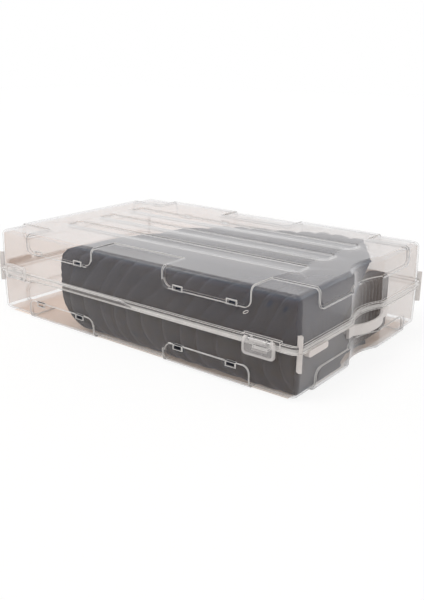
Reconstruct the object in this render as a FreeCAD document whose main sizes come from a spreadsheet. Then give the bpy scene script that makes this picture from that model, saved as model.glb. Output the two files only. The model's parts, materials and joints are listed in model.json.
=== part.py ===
"""Clear two-shell carry case, closed, in millimetres.

Frame: +X towards the carrying end, +Y towards the hinges, +Z up. The origin is the centre of the
face that the case lies on. Both shells are the same design turned over about the Y axis, so each
feature is drawn once for a half that points up from the parting plane, and lifted to its height
at the end. Only the grip's holes and the middle groove differ between the lid and the base.
"""
import FreeCAD, Part
import Sketcher
import math
import os
import re

SIZES = {
    # whole case
    "length": 460.0, "width": 300.0, "half_height": 55.5, "wall": 2.2, "draft_angle": 1.5,
    "corner_radius": 8.5, "top_edge_radius": 6.8,
    # rim where the shells meet
    "rim_proud": 3.0, "ledge_bottom": 2.3, "ledge_top": 4.2, "skirt_drop": 2.0, "rim_gap": 0.3,
    "step_run": 22.0, "back_rim": 25.0,
    # hand scoop in the carrying end
    "scoop_radius": 76.0, "scoop_depth": 9.5, "scoop_edge_radius": 4.0, "cavity_bevel": 2.7,
    # raised panels that wrap over the edges
    "panel_proud": 1.8, "panel_rise": 31.0, "panel_inner": 55.0, "panel_end_gap": 59.0,
    "panel_side_gap": 42.0, "panel_corner": 8.5,
    # stiffening grooves and side slots
    "groove_width": 26.0, "groove_end_gap": 51.0, "groove_pitch": 60.0, "groove_depth": 2.0,
    "groove_corner": 6.0, "slot_length": 11.0, "slot_height": 4.0, "slot_spacing": 71.0,
    "slot_lift": 0.6, "slot_frame": 1.2, "frame_proud": 0.6,
    # hinges at the back
    "hinge_end_gap": 80.0, "knuckle_width": 12.0, "knuckle_radius": 3.4, "knuckle_gap": 0.4,
    "hinge_pin_radius": 1.25, "pin_grip": 0.02, "pin_play": 0.06,
    # front latches
    "latch_end_gap": 43.5, "flap_width": 38.5, "flap_drop": 13.8, "flap_thickness": 1.6,
    "flap_border": 2.6, "flap_bead": 0.8, "flap_corner": 4.5, "latch_axis_rise": 3.5,
    "barrel_radius": 2.0, "latch_pin_radius": 0.9, "plate_width": 45.0, "plate_height": 6.5,
    "plate_thickness": 1.2, "plate_gap": 0.4, "lug_offset": 11.8, "lug_width": 5.0,
    "catch_width": 18.0, "catch_height": 2.6, "catch_reach": 2.0, "catch_hole_radius": 0.9,
    "hook_gap": 0.35, "hook_height": 1.6, "hook_reach": 0.7, "catch_hole_inset": 2.0,
    # carrying grip
    "grip_span": 72.0, "grip_bow": 9.5, "grip_thickness": 3.4, "grip_height": 12.0,
    "grip_foot": 11.0, "grip_gap": 0.4, "grip_edge": 0.8, "peg_radius": 2.2, "peg_head": 3.6,
    "peg_head_thickness": 1.2, "seat_gap": 0.1,
    # corner bumpers and opening tabs
    "bumper_width": 4.0, "bumper_proud": 2.2, "bumper_turn": 30.0, "bumper_short": 15.0, "bumper_long": 22.5,
    "tab_length": 38.0, "tab_height": 7.0, "tab_end_gap": 35.0, "tab_proud": 2.3,
    "tab_corner": 3.0,
}

# places that keep their distance from the ends of the case
PLACES = {
    "panel_outer": "length / 2 - panel_end_gap", "panel_side": "width / 2 - panel_side_gap",
    "groove_length": "length - 2 * groove_end_gap", "hinge_offset": "length / 2 - hinge_end_gap",
    "latch_offset": "length / 2 - latch_end_gap", "tab_offset": "width / 2 - tab_end_gap",
}

UP, DOWN = 1, -1
FAR = 40.0          # how far a cutting tool runs past what it cuts
OVERLAP = 1.0       # how deep a rib or web is sunk into the wall that carries it

document = FreeCAD.newDocument("clear_case")
os.makedirs("parts", exist_ok=True)


def make_sheet():
    """Write the driving sizes and the places that follow from them to a spreadsheet."""
    sheet = document.addObject("Spreadsheet::Sheet", "Sizes")
    cells = {**SIZES, **{alias: f"={formula}" for alias, formula in PLACES.items()}}
    for row, (alias, content) in enumerate(cells.items(), start=1):
        sheet.set(f"A{row}", alias)
        sheet.set(f"B{row}", str(content))
        sheet.setAlias(f"B{row}", alias)
    document.recompute()
    return sheet


sheet = make_sheet()


def linked(expression):
    """Turn the size names in an expression into references to the spreadsheet."""
    return re.sub(r"[a-z_]+", lambda word: f"Sizes.{word[0]}" if word[0] in SIZES or word[0] in PLACES
                  else word[0], str(expression))


def value(expression):
    """The number that an expression has now."""
    result = sheet.evalExpression(linked(expression))
    return float(getattr(result, "Value", result))


def bind(item, **properties):
    """Bind properties of an object to expressions over the sheet."""
    for name, expression in properties.items():
        item.setExpression(name, linked(expression))


def place(item, x=0, y=0, z=0):
    """Bind an object's position."""
    for axis, expression in zip("xyz", (x, y, z)):
        item.setExpression(f"Placement.Base.{axis}", linked(expression))


# ---------------------------------------------------------------- helpers for the shapes

def add_sketch(body, name, plane, lift=0):
    """A sketch on one of the body's own origin planes, lifted along the plane's normal."""
    sketch = body.newObject("Sketcher::SketchObject", name)
    face = next(item for item in body.Origin.OriginFeatures if item.Role == plane + "_Plane")
    sketch.AttachmentSupport = (face, [""])
    sketch.MapMode = "FlatFace"
    sketch.setExpression("AttachmentOffset.Base.z", linked(lift))
    return sketch


def arc_through(start, end, radius, turn):
    """The minor arc between two points. turn is 1 for anticlockwise and -1 for clockwise."""
    (x0, y0), (x1, y1) = start, end
    half = math.hypot(x1 - x0, y1 - y0) / 2
    reach = math.sqrt(max(radius ** 2 - half ** 2, 0)) / (2 * half) * turn
    centre = FreeCAD.Vector((x0 + x1) / 2 - (y1 - y0) * reach, (y0 + y1) / 2 + (x1 - x0) * reach, 0)
    circle = Part.Circle(centre, FreeCAD.Vector(0, 0, 1), radius)
    first, last = (start, end) if turn > 0 else (end, start)
    return Part.ArcOfCircle(circle, *(math.atan2(y - centre.y, x - centre.x) for x, y in (first, last)))


def draw_outline(sketch, points):
    """Draw a closed outline. A point is (x, y) or, where an arc starts, (x, y, radius, turn)."""
    corners = [(value(point[0]), value(point[1])) for point in points]
    first_line = sketch.GeometryCount
    ends = []
    for index, point in enumerate(points):
        start, end = corners[index], corners[(index + 1) % len(corners)]
        if len(point) == 2:
            sketch.addGeometry(Part.LineSegment(FreeCAD.Vector(*start, 0), FreeCAD.Vector(*end, 0)))
            ends.append((1, 2))
        else:
            sketch.addGeometry(arc_through(start, end, value(point[2]), point[3]))
            ends.append((1, 2) if point[3] > 0 else (2, 1))
    for index, point in enumerate(points):
        here, start = first_line + index, ends[index][0]
        following = (index + 1) % len(points)
        constrain(sketch, "Coincident", here, ends[index][1], first_line + following, ends[following][0])
        constrain(sketch, "DistanceX", -1, 1, here, start, size=point[0])
        constrain(sketch, "DistanceY", -1, 1, here, start, size=point[1])
        if len(point) == 4:
            constrain(sketch, "Radius", here, size=point[2])


def constrain(sketch, kind, *where, size=None):
    """Add one constraint and bind its size where it has one."""
    if size is None:
        sketch.addConstraint(Sketcher.Constraint(kind, *where))
        return
    number = sketch.addConstraint(Sketcher.Constraint(kind, *where, value(size)))
    sketch.setExpression(f"Constraints[{number}]", linked(size))


def rounded_rectangle(low_x, low_y, high_x, high_y, radius):
    """An upright rectangle with four rounded corners, anticlockwise."""
    return [(f"{low_x} + {radius}", low_y), (f"{high_x} - {radius}", low_y, radius, 1),
            (high_x, f"{low_y} + {radius}"), (high_x, f"{high_y} - {radius}", radius, 1),
            (f"{high_x} - {radius}", high_y), (f"{low_x} + {radius}", high_y, radius, 1),
            (low_x, f"{high_y} - {radius}"), (low_x, f"{low_y} + {radius}", radius, 1)]


def add_pad(body, name, plane, outlines, lift, length, taper=0):
    """A sketch of one or more outlines and its pad along the plane's normal."""
    sketch = add_sketch(body, name + "_sketch", plane, lift)
    for points in outlines:
        draw_outline(sketch, points)
    pad = body.newObject("PartDesign::Pad", name)
    pad.Profile = sketch
    bind(pad, Length=length, TaperAngle=taper)
    document.recompute([sketch, pad])
    return pad


def padded(name, plane, points, lift, length, taper=0):
    """A body that is one pad."""
    body = new_body(name)
    add_pad(body, name + "_pad", plane, [points], lift, length, taper)
    return body


def add_edges(body, name, base, size, picks, kind="Fillet"):
    """Round or bevel the edges of the last feature that a test picks."""
    edges = [f"Edge{number}" for number, edge in enumerate(base.Shape.Edges, start=1) if picks(edge)]
    dressed = body.newObject(f"PartDesign::{kind}", name)
    dressed.Base = (base, edges)
    bind(dressed, **{"Radius" if kind == "Fillet" else "Size": size})
    document.recompute([dressed])
    return dressed


def is_upright(edge):
    """True for a straight edge that runs mostly along Z."""
    run = edge.Vertexes[-1].Point - edge.Vertexes[0].Point
    return len(edge.Vertexes) == 2 and abs(run.z) > 0.9 * run.Length > 0


def new_body(name):
    """An empty body of its own."""
    return document.addObject("PartDesign::Body", name)


def box(name, x, y, z, length, width, height):
    """A box centred on x and y whose lower face is at z."""
    item = document.addObject("Part::Box", name)
    bind(item, Length=length, Width=width, Height=height)
    place(item, f"{x} - ({length}) / 2", f"{y} - ({width}) / 2", z)
    return item


def rod(name, x, y, z, radius, length, axis="X"):
    """A cylinder centred on x, y, z that runs along an axis."""
    item = document.addObject("Part::Cylinder", name)
    bind(item, Radius=radius, Height=length)
    turns = {"X": ((0, 1, 0), 90), "Y": ((1, 0, 0), -90), "Z": ((0, 0, 1), 0)}
    direction, angle = turns[axis]
    item.Placement = FreeCAD.Placement(FreeCAD.Vector(), FreeCAD.Rotation(FreeCAD.Vector(*direction), angle))
    start = {key: f"({at}) - ({length}) / 2" if key == axis else at for key, at in zip("XYZ", (x, y, z))}
    place(item, start["X"], start["Y"], start["Z"])
    return item


def fuse(name, *items):
    """One solid from several."""
    item = document.addObject("Part::MultiFuse", name)
    item.Shapes = list(items)
    item.Refine = True
    return item


def common(name, *items):
    """What two solids share."""
    item = document.addObject("Part::MultiCommon", name)
    item.Shapes = list(items)
    return item


def cut(name, base, *tools):
    """The base without the tools."""
    tool = tools[0] if len(tools) == 1 else fuse(name + "_tools", *tools)
    item = document.addObject("Part::Cut", name)
    item.Base, item.Tool = base, tool
    item.Refine = True
    return item


def lifted(item, up=UP):
    """Lift a finished piece to the parting plane, turned over about the Y axis for the base."""
    if up < 0:
        item.Placement = FreeCAD.Placement(FreeCAD.Vector(), FreeCAD.Rotation(FreeCAD.Vector(0, 1, 0), 180))
    place(item, z="half_height")
    return item


# ---------------------------------------------------------------- places worked out from the sizes

WALL_X = "(length / 2 - rim_proud)"
WALL_Y = "(width / 2 - rim_proud)"
SCOOP_X = f"({WALL_X} + scoop_radius - scoop_depth)"
PANEL_X = "((panel_inner + panel_outer) / 2)"
HINGE_Y = "(width / 2 + knuckle_radius + knuckle_gap)"
LATCH_Y = "(width / 2 + plate_thickness + plate_gap + barrel_radius)"
FLAP_Y = "(width / 2 + catch_reach + hook_gap + hook_reach)"
GRIP_TOP = "(-(ledge_top + grip_gap))"
GRIP_X = f"({WALL_X} + seat_gap)"
PEG_Y = "(grip_span / 2 + grip_foot * 0.6)"
PEG_Z = f"({GRIP_TOP} - grip_height / 2)"


def case_outline(offset):
    """Outline of the case at the parting plane, moved outwards by an offset, scooped at +X."""
    far_x, far_y = f"({WALL_X} + {offset})", f"({WALL_Y} + {offset})"
    radius, scoop = f"(corner_radius + {offset})", f"(scoop_radius - ({offset}))"
    half_chord = f"sqrt({scoop}^2 - ({SCOOP_X} - {far_x})^2)"
    return [
        (f"-({far_x} - {radius})", f"-{far_y}"), (f"{far_x} - {radius}", f"-{far_y}", radius, 1),
        (far_x, f"-({far_y} - {radius})"), (far_x, f"-{half_chord}", scoop, -1),
        (far_x, half_chord), (far_x, f"{far_y} - {radius}", radius, 1),
        (f"{far_x} - {radius}", far_y), (f"-({far_x} - {radius})", far_y, radius, 1),
        (f"-{far_x}", f"{far_y} - {radius}"), (f"-{far_x}", f"-({far_y} - {radius})", radius, 1),
    ]


def scooped(body, side):
    """Turn a body about Z so that its scoop lies on the wanted side."""
    if side < 0:
        body.Placement = FreeCAD.Placement(FreeCAD.Vector(), FreeCAD.Rotation(FreeCAD.Vector(0, 0, 1), 180))
    return body


# ---------------------------------------------------------------- the two shells

def drafted_form(name, proud, inset, side):
    """A drafted block of the case with rounded edges or, where it is set in, the cavity's bevelled one."""
    body = new_body(name)
    offset = f"({proud} - {inset})"
    top = f"half_height - panel_proud + {offset}"
    last = add_pad(body, name + "_pad", "XY", [case_outline(offset)], 0, top, "-draft_angle")
    height = value(top)
    kind, size = "Chamfer", "cavity_bevel"
    if not value(inset):
        kind, size = "Fillet", "top_edge_radius"
        last = add_edges(body, name + "_scoop_edges", last, "scoop_edge_radius",
                         lambda edge: is_upright(edge) and abs(edge.CenterOfMass.y) < value("panel_side"))
    add_edges(body, name + "_top_edges", last, size,
              lambda edge: edge.BoundBox.ZMin > height - 1e-4, kind)
    return scooped(body, side)


def panel_zones(name, offset):
    """Where the raised panels are: one bar along X and two along Y, with rounded lower corners."""
    body = new_body(name)
    low, high = f"panel_rise - ({offset})", f"half_height + {FAR}"
    side, corner = f"panel_side + {offset}", "panel_corner"
    add_pad(body, name + "_along_x", "YZ",
            [rounded_rectangle(f"-({side})", low, side, high, corner)],
            f"-(length / 2 + {FAR})", f"length + 2 * {FAR}")
    inner, outer = f"panel_inner - ({offset})", f"panel_outer + {offset}"
    for place_name, start, end in (("right", inner, outer), ("left", f"-({outer})", f"-({inner})")):
        add_pad(body, f"{name}_along_y_{place_name}", "XZ",
                [rounded_rectangle(start, low, end, high, corner)],
                f"-(width / 2 + {FAR})", f"width + 2 * {FAR}")
    return body


def grooves(name, up, offset, floor):
    """The long sunken grooves of a half, as solid bars: three in the lid, two under the base."""
    bars = []
    rows = ("-groove_pitch", "0", "groove_pitch") if up > 0 else ("-groove_pitch", "groove_pitch")
    for number, place_y in enumerate(rows, start=1):
        half_x, half_y = f"(groove_length / 2 + {offset})", f"(groove_width / 2 + {offset})"
        outline = rounded_rectangle(f"-{half_x}", f"{place_y} - {half_y}", half_x,
                                    f"{place_y} + {half_y}", f"(groove_corner + {offset})")
        bars.append(padded(f"{name}_{number}", "XY", outline, floor, f"half_height + {FAR} - ({floor})"))
    return bars


def rim(name, side):
    """The proud band round the edge: a ledge all round, and a skirt over the other half's edge."""
    plate = scooped(padded(name + "_plate", "XY", case_outline("rim_proud"),
                           "-skirt_drop", "ledge_top + skirt_drop"), side)
    relief = scooped(padded(name + "_relief", "XY", case_outline("rim_gap"),
                            f"-skirt_drop - {FAR}", f"skirt_drop + {FAR}"), side)
    give_way = padded(name + "_give_way", "XZ",
                      [("-length", f"-{FAR}"), ("step_run / 2", f"-{FAR}"),
                       ("step_run / 2", "-skirt_drop"), ("-step_run / 2", "ledge_bottom"),
                       ("-length", "ledge_bottom")],
                      "-(width / 2 - back_rim)", f"width + {FAR}")
    behind = box(name + "_behind", 0, f"width / 2 - back_rim - rim_gap + {FAR} / 2", f"-{FAR}",
                 "2 * length", FAR, FAR)
    return cut(name, plate, relief, give_way, behind), relief


def knuckle_places(has_outer):
    """Where a half has its knuckles at one hinge, and how wide each is."""
    step = "(knuckle_width + knuckle_gap)"
    return (f"-{step}", step) if has_outer else ("0",)


def hinge_half(name):
    """A half's knuckles with their webs: two outer ones at the right hinge, a middle one at the left."""
    solids, bores = [], []
    web_y = f"({WALL_Y} - {OVERLAP} + {HINGE_Y}) / 2"
    for hinge, sign, has_outer in (("right", "", True), ("left", "-", False)):
        for number, shift in enumerate(knuckle_places(has_outer), start=1):
            at, part = f"{sign}hinge_offset + {shift}", f"{name}_{hinge}_{number}"
            solids.append(rod(part, at, HINGE_Y, 0, "knuckle_radius", "knuckle_width"))
            solids.append(box(part + "_web", at, web_y, "rim_gap", "knuckle_width",
                              f"{HINGE_Y} - {WALL_Y} + {OVERLAP}", "knuckle_radius - rim_gap"))
        play = "pin_grip" if has_outer else "pin_play"
        bores.append(rod(f"{name}_{hinge}_bore", f"{sign}hinge_offset", HINGE_Y, 0,
                         f"hinge_pin_radius + {play}", "4 * knuckle_width"))
    return solids, bores


def latch_mount(name):
    """The latch plate with its two lugs, and the catch for the other half's latch."""
    plate = box(name + "_plate", "latch_offset", f"-(width / 2 + plate_thickness - {OVERLAP}) / 2 - {WALL_Y} / 2",
                0, "plate_width", f"rim_proud + plate_thickness + {OVERLAP}", "plate_height")
    solids, bores = [plate], []
    for lug, sign in (("inner", "-"), ("outer", "+")):
        at = f"latch_offset {sign} lug_offset"
        solids.append(rod(f"{name}_{lug}_lug", at, f"-{LATCH_Y}", "latch_axis_rise", "barrel_radius", "lug_width"))
        solids.append(box(f"{name}_{lug}_lug_root", at, f"-(width / 2 + {LATCH_Y}) / 2",
                          "latch_axis_rise - barrel_radius", "lug_width", f"{LATCH_Y} - width / 2",
                          "2 * barrel_radius"))
    bores.append(rod(name + "_bore", "latch_offset", f"-{LATCH_Y}", "latch_axis_rise",
                     "latch_pin_radius + pin_grip", "plate_width"))
    solids.append(box(name + "_catch", "-latch_offset", f"-({WALL_Y} - {OVERLAP} + width / 2 + catch_reach) / 2",
                      f"ledge_top - {OVERLAP}", "catch_width",
                      f"rim_proud + catch_reach + {OVERLAP}", f"catch_height + {OVERLAP}"))
    for end, sign in (("inner", "+"), ("outer", "-")):
        bores.append(rod(f"{name}_catch_{end}_hole", f"-latch_offset {sign} (catch_width / 2 - catch_hole_inset)",
                         "-(width / 2 + catch_reach)", "ledge_top + catch_height / 2", "catch_hole_radius",
                         "catch_reach * 1.5", axis="Y"))
    return solids, bores


def slots(name):
    """The side slots that go through both long walls, and the thin frames round them."""
    lift = "panel_rise + slot_lift"
    frame_depth = f"2 * ({WALL_Y} + panel_proud + frame_proud - panel_rise * tan(draft_angle))"
    frames, holes = [], []
    for number, (side, shift) in enumerate((s, t) for s in "+-" for t in "+-"):
        at = f"{side}({PANEL_X} {shift} slot_spacing / 2)"
        holes.append(box(f"{name}_hole_{number}", at, 0, lift, "slot_length", f"width + {FAR}", "slot_height"))
        frames.append(box(f"{name}_frame_{number}", at, 0, f"{lift} - slot_frame", "slot_length + 2 * slot_frame",
                          frame_depth, "slot_height + 2 * slot_frame"))
    return frames, holes


def half_shell(name, up):
    """One shell, drawn as the lid is; the base is the same, turned over, with the grip's holes."""
    side = up
    low = drafted_form(name + "_body", 0, 0, side)
    high = drafted_form(name + "_panel_body", "panel_proud", 0, side)
    panels = common(name + "_panels", high, panel_zones(name + "_zones", "0"))
    edge, relief = rim(name + "_rim", side)
    knuckles, hinge_bores = hinge_half(name + "_hinge")
    latch, latch_bores = latch_mount(name + "_latch")
    frames, holes = slots(name + "_slot")
    outer = fuse(name + "_outer", low, panels, edge, *knuckles, *latch, *frames)
    inner_low = drafted_form(name + "_cavity", 0, "wall", side)
    inner_high = drafted_form(name + "_panel_cavity", "panel_proud", "wall", side)
    inner_panels = common(name + "_cavity_panels", inner_high, panel_zones(name + "_cavity_zones", "(-wall)"))
    hollow = fuse(name + "_hollow", inner_low, inner_panels)
    ribs = grooves(name + "_groove_back", up, "wall", "half_height - groove_depth - wall")
    cavity = cut(name + "_inside", hollow, *ribs)
    sunk = grooves(name + "_groove", up, "0", "half_height - groove_depth")
    pegs = [] if up > 0 else peg_holes(name)
    shell = cut(name + "_shell", outer, cavity, *sunk, *hinge_bores, *latch_bores, *holes, *pegs)
    return lifted(shell, up), (low, edge, relief)


def peg_holes(name):
    """Holes for the grip's pegs, through the wall of the base's own left end."""
    return [rod(f"{name}_peg_hole_{end}", f"-{WALL_X}", f"{sign}{PEG_Y}", f"-{PEG_Z}",
                "peg_radius + pin_play", "4 * wall") for end, sign in (("front", "-"), ("back", ""))]


# ---------------------------------------------------------------- latches, pins and grip

def latch_flap(name, up):
    """A latch flap: a plate with a raised border, a hook and a barrel notched for the lugs."""
    low_z, high_z = "-flap_drop", "(latch_axis_rise + barrel_radius / 2)"
    low_x, high_x = "(latch_offset - flap_width / 2)", "(latch_offset + flap_width / 2)"
    outline = rounded_rectangle(low_x, low_z, high_x, high_z, "flap_corner")
    body = new_body(name + "_plate")
    add_pad(body, name + "_face", "XZ", [outline], FLAP_Y, "flap_thickness")
    window = rounded_rectangle(f"({low_x} + flap_border)", f"({low_z} + flap_border)",
                               f"({high_x} - flap_border)", f"({high_z} - flap_border)",
                               "(flap_corner - flap_border / 2)")
    add_pad(body, name + "_border", "XZ", [outline, window], f"{FLAP_Y} + flap_thickness - 0.2",
            "flap_bead + 0.2")
    barrel = rod(name + "_barrel", "latch_offset", f"-{LATCH_Y}", "latch_axis_rise", "barrel_radius",
                 "flap_width - 2 * flap_corner / 3")
    hook = box(name + "_hook", "latch_offset", f"-({FLAP_Y} - hook_reach / 2 + 0.1)",
               "-(ledge_top + catch_height + hook_gap + hook_height)", "catch_width",
               "hook_reach + 0.2", "hook_height")
    notches = [box(f"{name}_notch_{lug}", f"latch_offset {sign} lug_offset", f"-{LATCH_Y}",
                   "latch_axis_rise - barrel_radius - plate_gap", "lug_width + 2 * plate_gap",
                   FAR, FAR) for lug, sign in (("inner", "-"), ("outer", "+"))]
    bore = rod(name + "_bore", "latch_offset", f"-{LATCH_Y}", "latch_axis_rise",
               "latch_pin_radius + pin_play", "2 * flap_width")
    return lifted(cut(name, fuse(name + "_blank", body, barrel, hook), bore, *notches), up)


def latch_pin(name, up):
    """The thin pin that a flap turns on, held in the lugs of the lid or of the base."""
    sign = "" if up > 0 else "-"
    return rod(name, f"{sign}latch_offset", f"-{LATCH_Y}", f"half_height + {sign}latch_axis_rise",
               "latch_pin_radius", "flap_width - flap_corner")


def hinge_pin(name, sign):
    """A hinge pin as long as its three knuckles."""
    return rod(name, f"{sign}hinge_offset", HINGE_Y, "half_height", "hinge_pin_radius",
               "3 * knuckle_width + 2 * knuckle_gap")


def handle_grip():
    """The bowed carrying strap, with two feet on the end wall and a headed peg in each."""
    name = "handle_grip"
    outer_x, span = f"({GRIP_X} + grip_thickness)", "grip_span / 2"
    inner_span = "(grip_span / 2 - grip_thickness * 0.7)"
    outer_radius = f"((({span})^2 + grip_bow^2) / (2 * grip_bow))"
    inner_radius = f"(({inner_span}^2 + grip_bow^2) / (2 * grip_bow))"
    foot = "(grip_span / 2 + grip_foot)"
    body = new_body(name + "_strap")
    pad = add_pad(body, name + "_pad", "XY",
                  [[(GRIP_X, f"-{foot}"), (outer_x, f"-{foot}"), (outer_x, f"-{span}", outer_radius, 1),
                    (outer_x, span), (outer_x, foot), (GRIP_X, foot), (GRIP_X, inner_span, inner_radius, -1),
                    (GRIP_X, f"-{inner_span}")]],
                  f"{GRIP_TOP} - grip_height", "grip_height")
    reach = value(GRIP_X) + 1e-3
    add_edges(body, name + "_soft_edges", pad, "grip_edge",
              lambda edge: edge.BoundBox.ZLength < 1e-4 and edge.BoundBox.XMax > reach
              and edge.BoundBox.YLength > 1, "Chamfer")
    pegs = []
    for end, sign in (("front", "-"), ("back", "")):
        at = f"{sign}{PEG_Y}"
        length = "(wall + 2 * seat_gap + grip_thickness / 2 + wall)"
        pegs.append(rod(f"{name}_{end}_peg", f"{GRIP_X} + grip_thickness / 2 - {length} / 2", at, PEG_Z,
                        "peg_radius", length))
        pegs.append(rod(f"{name}_{end}_head", f"{GRIP_X} + grip_thickness / 2 - {length} + peg_head_thickness / 2",
                        at, PEG_Z, "peg_head", "peg_head_thickness"))
    return lifted(fuse(name, body, *pegs))


# ---------------------------------------------------------------- corner bumpers and opening tabs

def corner_bumper(name, up, right, back, seats):
    """A rounded bar standing on a rounded corner of a half, from the parting plane outwards."""
    starts = "rim_gap" if back else ("-skirt_drop + rim_gap / 2" if right else "ledge_bottom + rim_gap / 2")
    ends = "bumper_short" if right else "bumper_long"
    nose = "(corner_radius + rim_proud + bumper_proud - bumper_width / 2)"
    bar = fuse(name + "_bar",
               box(name + "_web", f"{nose} / 2 + corner_radius / 4", 0, starts, f"{nose} - corner_radius / 2",
                   "bumper_width", f"{ends} - ({starts})"),
               rod(name + "_nose", nose, 0, f"({ends} + {starts}) / 2", "bumper_width / 2",
                   f"{ends} - ({starts})", axis="Z"))
    turn = value("bumper_turn") if right else 180 - value("bumper_turn")
    bar.Placement = FreeCAD.Placement(FreeCAD.Vector(), FreeCAD.Rotation(FreeCAD.Vector(0, 0, 1), turn))
    bar.setExpression("Placement.Rotation.Angle",
                      linked(f"{'' if back else '-'}({'bumper_turn' if right else '180 - bumper_turn'})"))
    place(bar, f"{'' if right else '-'}({WALL_X} - corner_radius)", f"{'' if back else '-'}({WALL_Y} - corner_radius)")
    return lifted(cut(name, bar, *seats), up)


def opening_tab(name, up, seats):
    """A thumb tab on the ledge of a half's own left end, near the front."""
    outline = rounded_rectangle("(-tab_offset - tab_length / 2)", "(ledge_bottom + rim_gap / 2)",
                                "(-tab_offset + tab_length / 2)", "(ledge_bottom + rim_gap / 2 + tab_height)",
                                "tab_corner")
    body = padded(name + "_block", "YZ", outline, "-(length / 2 + tab_proud)", f"tab_proud + rim_proud + {OVERLAP}")
    return lifted(cut(name, body, *seats), up)


def build():
    """Make every piece and return them by node name."""
    nodes = {}
    for half, up in (("lid", UP), ("base", DOWN)):
        shell, seats = half_shell(half, up)
        nodes[half + "_shell"] = shell
        latch_side = "right" if up > 0 else "left"
        nodes["latch_flap_" + latch_side] = latch_flap("latch_flap_" + latch_side, up)
        nodes["latch_pin_" + latch_side] = latch_pin("latch_pin_" + latch_side, up)
        tab_side = "left" if up > 0 else "right"
        nodes["opening_tab_" + tab_side] = opening_tab("opening_tab_" + tab_side, up, seats)
        for own_right in (True, False):
            for back in (False, True):
                side = "right" if own_right == (up > 0) else "left"
                node = f"{half}_bumper_{'back' if back else 'front'}_{side}"
                nodes[node] = corner_bumper(node, up, own_right, back, seats)
    nodes["hinge_pin_right"] = hinge_pin("hinge_pin_right", "")
    nodes["hinge_pin_left"] = hinge_pin("hinge_pin_left", "-")
    nodes["handle_grip"] = handle_grip()
    return nodes


def check_and_write(nodes):
    """Refuse a failed object, then write each piece to a STEP file."""
    document.recompute()
    for item in document.Objects:
        if {"Invalid", "Error"} & set(item.State):
            raise RuntimeError(f"{item.Name} failed: {item.State}")
    for node, item in nodes.items():
        item.Label = node
        shape = item.Shape
        if shape.isNull() or not shape.isValid() or len(shape.Solids) != 1:
            raise RuntimeError(f"{node}: not one valid solid ({len(shape.Solids)} solids)")
    for node, item in nodes.items():
        item.Shape.exportStep(f"parts/{node}.step")
        print(f"{node:28s} {item.Shape.Volume / 1000:9.2f} cm3")


check_and_write(build())
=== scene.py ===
"""Looks of the clear two-shell carry case: clouded clear shells, milky latches, grip and bumpers.

Metres, in the model's own frame: +X towards the carrying end, +Y towards the hinges, +Z up. The
origin is the centre of the face that the case lies on, and the shells meet at PARTING.
"""

import json
import logging
import math
from dataclasses import dataclass, field
from enum import Enum
from typing import Callable, Optional, Sequence

import bmesh
import bpy
from mathutils import Matrix, Vector

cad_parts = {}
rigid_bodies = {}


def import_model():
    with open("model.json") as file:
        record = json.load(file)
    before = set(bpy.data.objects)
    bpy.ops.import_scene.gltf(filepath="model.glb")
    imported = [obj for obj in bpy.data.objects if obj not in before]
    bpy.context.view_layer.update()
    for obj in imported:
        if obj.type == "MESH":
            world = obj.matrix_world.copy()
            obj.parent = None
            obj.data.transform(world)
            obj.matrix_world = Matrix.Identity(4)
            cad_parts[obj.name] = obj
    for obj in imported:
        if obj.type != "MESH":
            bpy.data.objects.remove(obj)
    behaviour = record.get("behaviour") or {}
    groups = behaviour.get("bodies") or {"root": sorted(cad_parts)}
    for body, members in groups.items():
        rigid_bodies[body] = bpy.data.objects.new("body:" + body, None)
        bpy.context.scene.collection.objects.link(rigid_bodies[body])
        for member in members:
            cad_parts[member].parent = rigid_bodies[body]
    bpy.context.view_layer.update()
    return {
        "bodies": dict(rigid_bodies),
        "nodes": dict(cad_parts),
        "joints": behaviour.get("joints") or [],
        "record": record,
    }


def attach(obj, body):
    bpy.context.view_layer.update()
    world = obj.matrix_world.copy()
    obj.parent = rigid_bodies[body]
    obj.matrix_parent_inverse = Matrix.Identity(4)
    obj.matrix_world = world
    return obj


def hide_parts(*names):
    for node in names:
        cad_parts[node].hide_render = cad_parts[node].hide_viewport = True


LOG = logging.getLogger("carry_case")
MM = 0.001
PARTING = 55.5 * MM
MIDDLE = Vector((0.0, 0.0, PARTING))
PLASTIC_IOR = 1.49
AREA_WEIGHT = 80
SKIN_CREASE = 60.0
MERGE_DISTANCE = 0.004 * MM
SMALL_PATCH = 18.0 * MM
REVEAL_LENGTH = (9.0 * MM, 14.0 * MM)
REVEAL_WIDTH = (1.2 * MM, 2.6 * MM)
REVEAL_LEVEL = 0.97
Colour = tuple[float, float, float]


class Half(Enum):
    """The two halves of the case, by the body that each is fixed to."""

    BASE = "base"
    LID = "lid"


# ------------------------------------------------------------------ node trees

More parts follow.
